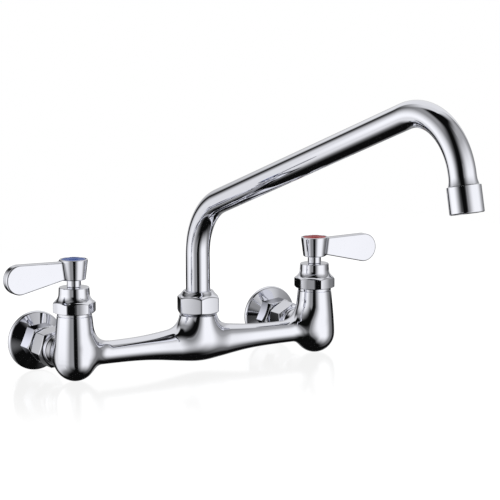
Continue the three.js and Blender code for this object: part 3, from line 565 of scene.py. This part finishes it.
# CAP_SLANT is the cosine of the cone's slope, which makes the distance from it a true one.
CAP_RADIUS, CAP_WIDENS, CAP_SLANT, CAP_EDGE = 8.5, 1.9, 0.992, 0.9
RECESS_RADIUS, RECESS_FLOOR, RECESS_EDGE = 9.0, 68.5, 0.5
NECK_RADIUS, NECK_MIDDLE, NECK_HALF = 5.1, 53.9, 3
# The lever's outline: the middle of its root circle as distance out and height, the way from
# there to the middle of its tip circle, and the two radii.
ROOT_OUT, ROOT_HEIGHT = 6, 63.6
LEVER_OUT, LEVER_UP = 37.2, -3.95
ROOT_RADIUS, TIP_RADIUS = 6.1, 10.8
LEVER_HALF, LEVER_EDGE, LEVER_FILLET = 3.7, 1.1, 2.2
HANDLE_LOW, HANDLE_HIGH, HANDLE_PITCH = (-11.5, -11.5, 47.8), (56.8, 11.5, 72), 0.45


def soft_max(a, b, rounding):
    """The greater of two distances, with the edge between them rounded off."""
    return -blend(-a, -b, rounding)


def handle_distance(x, y, z):
    """How far a point is outside the lever handle, on the valve's axis with the lever along +X.
    The cap is a cone that widens upwards, with a round recess for the index button. The lever's
    outline is two circles joined by their tangents, 7.4 mm thick with rounded edges. Cap and
    lever meet in a small fillet, and the neck stands in the bonnet nut."""
    from_axis = np.sqrt(x**2 + y**2)
    share = np.clip((z - CAP_LOW) / CAP_HEIGHT, 0, 1)
    cone = (from_axis - (CAP_RADIUS + CAP_WIDENS * share)) * CAP_SLANT
    cap = soft_max(cone, np.maximum(CAP_LOW - z, z - CAP_TOP), CAP_EDGE)

    length = math.hypot(LEVER_OUT, LEVER_UP)
    out, up = x - ROOT_OUT, z - ROOT_HEIGHT
    along = (out * LEVER_OUT + up * LEVER_UP) / length
    off = np.abs(up * LEVER_OUT - out * LEVER_UP) / length
    lean = (ROOT_RADIUS - TIP_RADIUS) / length
    level = math.sqrt(1 - lean**2)
    reach = along * level - off * lean
    outline = np.where(
        reach < 0,
        np.sqrt(off**2 + along**2) - ROOT_RADIUS,
        np.where(
            reach > level * length,
            np.sqrt(off**2 + (along - length) ** 2) - TIP_RADIUS,
            off * level + along * lean - ROOT_RADIUS,
        ),
    )
    outline, thick = outline + LEVER_EDGE, np.abs(y) - LEVER_HALF + LEVER_EDGE
    lever = (
        np.minimum(np.maximum(outline, thick), 0)
        + np.sqrt(np.maximum(outline, 0) ** 2 + np.maximum(thick, 0) ** 2)
        - LEVER_EDGE
    )
    neck = np.maximum(from_axis - NECK_RADIUS, np.abs(z - NECK_MIDDLE) - NECK_HALF)
    whole = np.minimum(blend(cap, lever, LEVER_FILLET), neck)
    recess = np.maximum(from_axis - RECESS_RADIUS, RECESS_FLOOR - z)
    return soft_max(whole, -recess, RECESS_EDGE)


def make_handle(side, material, shape):
    """The lever handle's skin, facing away from the middle of the faucet."""
    mirror = np.eye(4)
    mirror[0, 0] = -1 if side == "left" else 1
    place = placing(VALVE_X[side], -WALL_TO_BARREL) @ mirror
    name = f"handle_{side}"
    return piece(f"{name}_fine", name, material, [moved(shape, place)], name)


def make_index(side, material):
    """The snap-in index button: a flat rim, and a face dished towards its middle."""
    face = turned(
        [
            (7.6, 69.6),
            (7.6, 68.8),
            (8.6, 68.8),
            (8.75, 70.75, 0.35),
            (7.9, 70.95, 0.5),
            (6.6, 70.65, 1.5),
            (3.7, 70.5, 0.5),
            (2.6, 69.78, 0.6),
            (0.0, 69.72),
        ],
        columns=72,
    )
    under = turned([(0, 69.6), (7.6, 69.6)], columns=72)
    place = placing(VALVE_X[side], -WALL_TO_BARREL)
    name = f"index_button_{side}"
    parts = [moved(face, place), moved(under, place)]
    return piece(f"{name}_fine", f"handle_{side}", material, parts, name)


# ---- spout ------------------------------------------------------------------------------------

REACH, RISER_TOP, LOW_BEND, HIGH_BEND = 304.8, 66.6, 45.4, 43.0
# The slope of the reach and the outlet's tilt from upright are in radians. SWING is how far the
# spout is turned at rest, in degrees.
SLOPE, TILT, SWING = math.radians(20.1), math.radians(12), 4.8
OUTLET, AERATOR_LENGTH, AERATOR_GAP = 7.8, 17.5, 0.3
TUBE_RADIUS, FOOT = 8.95, 33.6
FLARE_LENGTH, FLARE = 5.7, 1.05
LOW_ROWS, HIGH_ROWS, OUTLET_ROWS, TUBE_COLUMNS = 40, 60, 16, 112


def spout_line():
    """The tube's middle line in its own plane as rows of (distance out, height, heading, length):
    up the riser, round the low bend, along the slope, round the high bend and down the outlet."""
    lean = math.pi / 2 - SLOPE
    fall = SLOPE + math.pi / 2 - TILT
    tail = OUTLET + AERATOR_LENGTH
    run = REACH - LOW_BEND * (1 - math.cos(lean)) - tail * math.sin(TILT)
    run -= HIGH_BEND * (math.sin(SLOPE) + math.cos(TILT))
    low = math.pi / 2 - np.linspace(0, lean, LOW_ROWS)
    low_out = LOW_BEND * (1 - np.sin(low))
    low_up = RISER_TOP + LOW_BEND * np.cos(low)
    high = SLOPE - np.linspace(0, fall, HIGH_ROWS)
    high_out = low_out[-1] + run + HIGH_BEND * (math.sin(SLOPE) - np.sin(high))
    high_up = low_up[-1] + run * math.tan(SLOPE) + HIGH_BEND * (np.cos(high) - math.cos(SLOPE))
    down = np.linspace(0, OUTLET - AERATOR_GAP, OUTLET_ROWS)[1:]
    out = np.concatenate([[0], low_out, high_out, high_out[-1] + down * math.cos(high[-1])])
    up = np.concatenate([[FOOT], low_up, high_up, high_up[-1] + down * math.sin(high[-1])])
    heading = np.concatenate([[math.pi / 2], low, high, high[-1] + 0 * down])
    length = np.concatenate([[0], np.cumsum(np.hypot(np.diff(out), np.diff(up)))])
    return out, up, heading, length


def make_tube(material):
    """A circle carried along the middle line, with a short flare at the end that meets the
    aerator: the radius grows as the square of the distance past the flare's start."""
    out, up, heading, length = spout_line()
    past = np.clip((length - (length[-1] - FLARE_LENGTH)) / FLARE_LENGTH, 0, 1)
    radius = TUBE_RADIUS + FLARE * past**2
    growth = FLARE * 2 * past / FLARE_LENGTH
    middle = np.stack([0 * out, -out, up], axis=1)
    along = np.stack([0 * out, -np.cos(heading), np.sin(heading)], axis=1)
    across = np.stack([0 * out, np.sin(heading), np.cos(heading)], axis=1)
    angle = np.linspace(0, 2 * np.pi, TUBE_COLUMNS, endpoint=False)[None, :, None]
    spoke = np.cos(angle) * np.array([1, 0, 0]) + np.sin(angle) * across[:, None]
    points = middle[:, None] + radius[:, None, None] * spoke
    normals = spoke - growth[:, None, None] * along[:, None]
    ends = []
    for row, sign in ((0, -1), (-1, 1)):
        rim = np.stack([points[row], 0 * points[row] + middle[row]])
        ends.append(sheet(rim, 0 * rim + sign * along[row]))
    place = placing(0, -WALL_TO_BARREL, SWING)
    parts = [moved(p, place) for p in [sheet(points, normals), *ends]]
    return piece("spout_tube_fine", "spout", material, parts, "spout_tube")


def outlet_place():
    """The placing of the outlet's own frame: its height runs down the outlet, from just past the
    tube's end."""
    out, up, heading, _ = spout_line()
    along = Vector((0, -math.cos(heading[-1]), math.sin(heading[-1])))
    end = Vector((0, -out[-1], up[-1])) + along * AERATOR_GAP
    turn = along.to_track_quat("Z", "X").to_matrix().to_4x4()
    return placing(0, -WALL_TO_BARREL, SWING) @ np.array(Matrix.Translation(end) @ turn)


def make_aerator(material):
    """The aerator's shell: a plain cylinder with a rounded lower edge, turned in over its
    insert."""
    shell = turned(
        [
            (9.6, 0),
            (11.15, 0, 0.35),
            (11.15, AERATOR_LENGTH, 1.0),
            (8.4, AERATOR_LENGTH, 0.4),
            (8.4, 15.6, 0.2),
            (9.6, 15.6),
            (9.6, 0),
        ],
        columns=TUBE_COLUMNS,
    )
    parts = [moved(shell, outlet_place())]
    return piece("aerator_fine", "spout", material, parts, "aerator_housing")


# ---- finishes ---------------------------------------------------------------------------------

# Nearly all of a noise's values lie between these.
NOISE_LOW, NOISE_HIGH = 0.3, 0.7
# Sizes in millimetres: the clouds and the buffing marks in chrome and the waves in its casting,
# the mottle and the fine grain of a moulding, and the mottle and the tool marks of turned metal.
CLOUDS, BUFFING, WAVES, WAVE_HEIGHT = 26, 3.5, 16, 0.4
MOTTLE, GRAIN = 4, 0.8
STAINS, TOOL_MARKS, MARK_DEPTH = 3, 0.25, 0.03


def linear(hex_colour):
    """An sRGB hex colour as linear red, green, blue and alpha."""
    parts = [int(hex_colour[i : i + 2], 16) / 255 for i in (1, 3, 5)]
    return tuple(c / 12.92 if c <= 0.04045 else ((c + 0.055) / 1.055) ** 2.4 for c in parts) + (1,)


def add(tree, kind, settings=None, **inputs):
    """Adds a shader node. settings are its own properties; each input is a value, or another
    node's output to link. i0 is the first input, i1 the next, and underscores in an input's name
    stand for spaces."""
    made = tree.nodes.new(kind)
    for key, value in (settings or {}).items():
        setattr(made, key, value)
    for key, value in inputs.items():
        numbered = key[0] == "i" and key[1:].isdigit()
        socket = made.inputs[int(key[1:]) if numbered else key.replace("_", " ")]
        if isinstance(value, bpy.types.NodeSocket):
            tree.links.new(value, socket)
        else:
            socket.default_value = value
    return made


def bare(owner):
    """The emptied node tree of a material or a world."""
    owner.use_nodes = True
    owner.node_tree.nodes.clear()
    return owner.node_tree


def finish(name, **constants):
    """A new material with a Principled shader whose constant sockets are set, and the object's
    own coordinates for its patterns."""
    made = bpy.data.materials.new(name)
    tree = bare(made)
    shader = add(tree, "ShaderNodeBsdfPrincipled", **constants)
    add(tree, "ShaderNodeOutputMaterial", Surface=shader.outputs[0])
    place = add(tree, "ShaderNodeTexCoord").outputs["Object"]
    return made, tree, shader, place


def between(tree, factor, low, high):
    """A colour that runs from one hex colour to another with a factor."""
    mix = add(
        tree, "ShaderNodeMix", {"data_type": "RGBA"}, i0=factor, i6=linear(low), i7=linear(high)
    )
    return mix.outputs[2]


def uneven(tree, value, middle, swing):
    """A noise made into a number that stays within a share of its middle, on either side."""
    made = add(
        tree,
        "ShaderNodeMapRange",
        Value=value,
        From_Min=NOISE_LOW,
        From_Max=NOISE_HIGH,
        To_Min=middle * (1 - swing),
        To_Max=middle * (1 + swing),
    )
    return made.outputs[0]


def noise(tree, place, millimetres, detail=3.0):
    """Noise whose largest grain is about the given size."""
    made = add(
        tree, "ShaderNodeTexNoise", Vector=place, Scale=1 / (millimetres * MM), Detail=detail
    )
    return made.outputs["Fac"]


def maths(tree, what, *values):
    """One Math node on the values."""
    sockets = {f"i{i}": value for i, value in enumerate(values)}
    return add(tree, "ShaderNodeMath", {"operation": what}, **sockets).outputs[0]


def ramp(tree, value, zero, full):
    """0 at one value and 1 at the other, smooth between, whichever of the two is larger."""
    made = add(
        tree,
        "ShaderNodeMapRange",
        {"interpolation_type": "SMOOTHSTEP"},
        Value=value,
        From_Min=min(zero, full),
        From_Max=max(zero, full),
        To_Min=float(zero > full),
        To_Max=float(zero < full),
    )
    return made.outputs[0]


def chrome_plate(name, haze, waviness):
    """Bright chromium plate over polished brass: a cool tint, haze left by the buffing wheel, and
    on castings the faint waviness that polishing leaves."""
    made, tree, shader, place = finish(name, Metallic=1.0)
    colour = between(tree, noise(tree, place, CLOUDS), "#E9EAF1", "#EFF0F7")
    tree.links.new(colour, shader.inputs["Base Color"])
    buffing = noise(tree, place, BUFFING, detail=5)
    tree.links.new(uneven(tree, buffing, haze, 0.4), shader.inputs["Roughness"])
    if waviness:
        bump = add(
            tree,
            "ShaderNodeBump",
            Strength=waviness,
            Distance=WAVE_HEIGHT * MM,
            Height=noise(tree, place, WAVES, detail=1),
        )
        tree.links.new(bump.outputs[0], shader.inputs["Normal"])
    return made


def moulded(name, low, high, rough, shine=0.5):
    """Moulded plastic, rubber or ceramic: a faint mottle in its colour and a fine uneven gloss."""
    made, tree, shader, place = finish(name, Specular_IOR_Level=shine)
    colour = between(tree, noise(tree, place, MOTTLE), low, high)
    tree.links.new(colour, shader.inputs["Base Color"])
    grain = noise(tree, place, GRAIN, detail=4)
    tree.links.new(uneven(tree, grain, rough, 0.2), shader.inputs["Roughness"])
    return made


def machined(name, low, high, rough):
    """Bare turned metal: fine rings of tool marks about the upright axis, over a mottled colour."""
    made, tree, shader, place = finish(name, Metallic=1.0)
    colour = between(tree, noise(tree, place, STAINS), low, high)
    tree.links.new(colour, shader.inputs["Base Color"])
    height = add(tree, "ShaderNodeSeparateXYZ", Vector=place).outputs[2]
    rings = add(
        tree,
        "ShaderNodeTexNoise",
        {"noise_dimensions": "1D"},
        W=height,
        Scale=1 / (TOOL_MARKS * MM),
        Detail=2.0,
    ).outputs[0]
    tree.links.new(uneven(tree, rings, rough, 0.3), shader.inputs["Roughness"])
    bump = add(tree, "ShaderNodeBump", Strength=0.25, Distance=MARK_DEPTH * MM, Height=rings)
    tree.links.new(bump.outputs[0], shader.inputs["Normal"])
    return made


# ---- the faucet -------------------------------------------------------------------------------

# Chrome on a casting that was buffed by hand: a mirror, a little soft and wavy.
cast_chrome = chrome_plate("chrome_plate_on_polished_casting", haze=0.035, waviness=0.05)
# Chrome on brass bar turned on a lathe: the sharpest mirror of the three.
turned_chrome = chrome_plate("chrome_plate_on_turned_brass", haze=0.025, waviness=0)
# Chrome on drawn and bent tube: a mirror with a trace of haze.
tube_chrome = chrome_plate("chrome_plate_on_drawn_tube", haze=0.03, waviness=0)
# Dyed plastic from a satin mould: an even colour with little shine.
index_blue = moulded("satin_blue_moulding", "#5F7FD6", "#6989DE", rough=0.4, shine=0.2)
index_red = moulded("satin_red_moulding", "#C6484C", "#D05254", rough=0.4, shine=0.2)
# Turned and left bare: yellow or grey metal, with fine rings from the tool.
turned_brass = machined("turned_brass", "#B8955A", "#C7A568", rough=0.26)
stainless = machined("turned_stainless_steel", "#A9A9AB", "#B9B9BC", rough=0.24)
# Fired, then lapped flat: cream white with a low even gloss.
alumina = moulded("lapped_alumina", "#E6E2D6", "#EFECE3", rough=0.22)
# Pressed in a hot mould: near black and dull.
nitrile = moulded("moulded_nitrile_rubber", "#131314", "#1B1B1C", rough=0.55)
# Punched from sheet: reddish brown and dull.
fibre = moulded("vulcanised_fibre", "#5A2E22", "#6B382A", rough=0.6)
# Injection moulded: off-white with a waxy gloss.
acetal = moulded("moulded_acetal", "#E4E2DA", "#EEECE6", rough=0.35)

make_casting(cast_chrome)
handle_skin = skin(handle_distance, HANDLE_LOW, HANDLE_HIGH, HANDLE_PITCH)
for side in VALVE_X:
    make_bonnet(side, turned_chrome)
    make_flanged_inlet(side, turned_chrome)
    make_coupling(side, turned_chrome)
    make_handle(side, cast_chrome, handle_skin)
make_index("left", index_blue)
make_index("right", index_red)
make_spout_nut(turned_chrome)
make_tube(tube_chrome)
make_aerator(turned_chrome)

# The finish of each node of the CAD model that is still drawn, by the start of its name.
NODE_FINISH = {
    "inlet_tailpiece": turned_brass,
    "union_washer": fibre,
    "seat_seal": nitrile,
    "fixed_disc": alumina,
    "moving_disc": alumina,
    "cartridge_housing": turned_brass,
    "cartridge_stem": turned_brass,
    "stem_o_ring": nitrile,
    "handle_screw": stainless,
    "retaining_ring": acetal,
    "spout_bushing": turned_brass,
    "spout_o_ring": nitrile,
    "aerator_washer": nitrile,
    "aerator_screen": stainless,
    "aerator_insert": acetal,
}
for name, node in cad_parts.items():
    for start, material in NODE_FINISH.items():
        if name.startswith(start):
            node.data.materials.clear()
            node.data.materials.append(material)

# ---- studio -----------------------------------------------------------------------------------

FLOOR_HEIGHT = -22.5  # just below the wall discs
FLOOR_RISE = 0.0618  # up to the undersides of the valve barrels, towards the user
FLOOR_HALF = 800  # past it the world is as white as the board
FLOOR_WHITE = 1.12
# How much the board mirrors, how hazily, and how far out that is full and has gone.
POLISH, POLISH_HAZE, POLISH_FULL, POLISH_GONE = 0.2, 0.1, 50, 320


def staged(name, points, faces, material):
    """A piece of the studio from its points and faces, and the emptied tree of its material."""
    mesh = bpy.data.meshes.new(name)
    mesh.from_pydata((points * MM).tolist(), [], faces)
    mesh.materials.append(bpy.data.materials.new(material))
    made = bpy.data.objects.new(name, mesh)
    bpy.context.scene.collection.objects.link(made)
    return made, bare(mesh.materials[0])


def clear_to(tree, ray, seen):
    """Ends a material that is clear to one kind of ray, as the Light Path node names it, and shows
    its shader to the rest."""
    clear = add(tree, "ShaderNodeBsdfTransparent")
    kind = add(tree, "ShaderNodeLightPath").outputs[ray]
    either = add(tree, "ShaderNodeMixShader", Fac=kind, i1=seen.outputs[0], i2=clear.outputs[0])
    add(tree, "ShaderNodeOutputMaterial", Surface=either.outputs[0])


def make_floor():
    """A white board that the faucet was laid on: it touches the wall discs and the undersides of
    the two barrels, so it rises by FLOOR_RISE for each millimetre towards the user. It is polished
    round the faucet, and the polish fades with the distance from the line that joins the two
    valves. Chrome doesn't mirror it."""
    corners = np.array([[-1, -1], [1, -1], [1, 1], [-1, 1]]) * FLOOR_HALF
    points = np.column_stack([corners, FLOOR_HEIGHT - FLOOR_RISE * corners[:, 1]])
    _, tree = staged("floor", points, [(0, 1, 2, 3)], "white_board_polished_in_the_middle")
    place = add(tree, "ShaderNodeTexCoord").outputs["Object"]
    x, y, _ = add(tree, "ShaderNodeSeparateXYZ", Vector=place).outputs
    past_valve = maths(tree, "SUBTRACT", maths(tree, "ABSOLUTE", x), CENTRES / 2 * MM)
    side = maths(tree, "MAXIMUM", past_valve, 0.0)
    ahead = maths(tree, "ADD", y, WALL_TO_BARREL * MM)
    squares = [maths(tree, "MULTIPLY", way, way) for way in (side, ahead)]
    away = maths(tree, "SQRT", maths(tree, "ADD", *squares))
    fade = ramp(tree, away, POLISH_GONE * MM, POLISH_FULL * MM)
    polish = maths(tree, "MULTIPLY", fade, POLISH)
    white = add(tree, "ShaderNodeEmission", Color=linear("#FFFFFF"), Strength=FLOOR_WHITE)
    mirror = add(tree, "ShaderNodeBsdfGlossy", Color=linear("#FFFFFF"), Roughness=POLISH_HAZE)
    seen = add(tree, "ShaderNodeMixShader", Fac=polish, i1=white.outputs[0], i2=mirror.outputs[0])
    clear_to(tree, "Is Glossy Ray", seen)


# The studio is a dark tent round the faucet with bright areas on its inside, given in degrees as
# seen from its middle. Azimuth 0 is +X and 90 is +Y. Each area has a strength, a middle azimuth,
# the azimuths from its middle at which it starts, is full, is full and ends, and the elevations
# likewise. What none of them covers stays dark: the gap towards the camera, and everything below.
TENT_MIDDLE = (0, -200, 60)
TENT_RADIUS, TENT_ROWS, TENT_COLUMNS = 800, 61, 120
SOFTBOXES = {
    "key": (0.935, -55, (-62, -16, 9, 64), (-75, -18, 12, 76)),
    "key_edge": (0.25, -100, (-11, -5, 6, 30), (-60, -32, 24, 30)),
    "key_top": (0.39, -50, (-39, -19, 25, 89), (-10, -3, 55, 75)),
    "left": (1.0, 160, (-55, -17, 12, 64), (-63, 2, -2, 64)),
    "left_side": (0.735, 150, (-43, -25, 24, 37), (-52, -25, 8, 37)),
    "left_edge": (0.28, -160, (-20, 0, 23, 30), (-55, -18, 2, 14)),
    "left_top": (0.28, 165, (-65, -20, 15, 63), (7, 17, 55, 67)),
    "back_top": (0.74, 62, (-60, -42, 30, 44), (-8, 31, 67, 110)),
    "back_high": (0.68, 62, (-107, -48, 57, 82), (26, 69, 110, 120)),
    "back_low": (0.23, 66, (-32, -20, 2, 38), (-42, -24, -14, -10)),
    "horizon": (0.50, 60, (-40, -30, 30, 40), (-9, -6, 14, 20)),
    "fill": (0.207, 5, (-40, -25, -7, 17), (-78, -24, 40, 60)),
}
DARK_CLOTH = 0.0035
# Light that chrome takes away, made up for in the softboxes.
PLATE_LOSS = 1.14


def make_tent():
    """A sphere round the faucet, radius TENT_RADIUS about TENT_MIDDLE, with the softboxes drawn on
    it by direction: each area is the product of four smooth ramps, one for each of its sides, and
    the brightest area at a direction is what shows there. The camera looks through it."""
    fall = np.radians(np.linspace(180, 0, TENT_ROWS))
    angles = np.linspace(0, 2 * np.pi, TENT_COLUMNS, endpoint=False)
    outline = np.stack([np.sin(fall), np.cos(fall)], axis=1)
    ball = sheet(swept(outline * TENT_RADIUS, angles), swept(-outline, angles))
    tent, tree = staged(
        "light_tent", ball["points"], ball["faces"].tolist(), "softboxes_on_black_cloth"
    )
    tent.location = Vector(TENT_MIDDLE) * MM

    place = add(tree, "ShaderNodeTexCoord").outputs["Object"]
    direction = add(tree, "ShaderNodeVectorMath", {"operation": "NORMALIZE"}, i0=place).outputs[0]
    x, y, z = add(tree, "ShaderNodeSeparateXYZ", Vector=direction).outputs
    azimuth = maths(tree, "DEGREES", maths(tree, "ARCTAN2", y, x))
    elevation = maths(tree, "DEGREES", maths(tree, "ARCSINE", z))
    level = DARK_CLOTH
    for strength, middle, across, up in SOFTBOXES.values():
        turn = maths(tree, "WRAP", maths(tree, "SUBTRACT", azimuth, float(middle)), 180.0, -180.0)
        area = strength
        for share in (
            ramp(tree, turn, across[0], across[1]),
            ramp(tree, turn, across[3], across[2]),
            ramp(tree, elevation, up[0], up[1]),
            ramp(tree, elevation, up[3], up[2]),
        ):
            area = maths(tree, "MULTIPLY", share, area)
        level = maths(tree, "MAXIMUM", area, level)
    glow = maths(tree, "MULTIPLY", level, PLATE_LOSS)
    lights = add(tree, "ShaderNodeEmission", Color=linear("#FFFFFF"), Strength=glow)
    clear_to(tree, "Is Camera Ray", lights)


def make_world():
    """Plain white all round, beyond the tent."""
    world = bpy.data.worlds.new("white_room")
    bpy.context.scene.world = world
    tree = bare(world)
    plain = add(tree, "ShaderNodeBackground", Color=linear("#FFFFFF"), Strength=1.0)
    add(tree, "ShaderNodeOutputWorld", Surface=plain.outputs[0])


# Solved from the photograph. The camera is turned to the right and down, in degrees, then rolled,
# in radians.
CAMERA_PLACE = (-769.80, -1476.30, 323.26)
CAMERA_RIGHT, CAMERA_DOWN, CAMERA_ROLL = 30.062, 9.010, -0.003746
SENSOR, LENS, SEES_TO = 36, 157.84, 20_000


def make_camera():
    """The camera, at the place and angle solved from the photograph."""
    yaw, pitch, roll = math.radians(CAMERA_RIGHT), math.radians(CAMERA_DOWN), CAMERA_ROLL
    level = math.cos(pitch)
    ahead = Vector((math.sin(yaw) * level, math.cos(yaw) * level, -math.sin(pitch)))
    right = Vector((math.cos(yaw), -math.sin(yaw), 0))
    up = right.cross(ahead)
    across = math.cos(roll) * right + math.sin(roll) * up
    rise = -math.sin(roll) * right + math.cos(roll) * up
    turn = Matrix((across, rise, -ahead)).transposed().to_4x4()
    data = bpy.data.cameras.new("camera")
    data.sensor_width = SENSOR
    data.lens = LENS
    data.clip_end = SEES_TO * MM
    camera = bpy.data.objects.new("camera", data)
    bpy.context.scene.collection.objects.link(camera)
    camera.matrix_world = Matrix.Translation(Vector(CAMERA_PLACE) * MM) @ turn
    bpy.context.scene.camera = camera


make_floor()
make_tent()
make_world()
make_camera()
bpy.context.scene.view_settings.view_transform = "Standard"
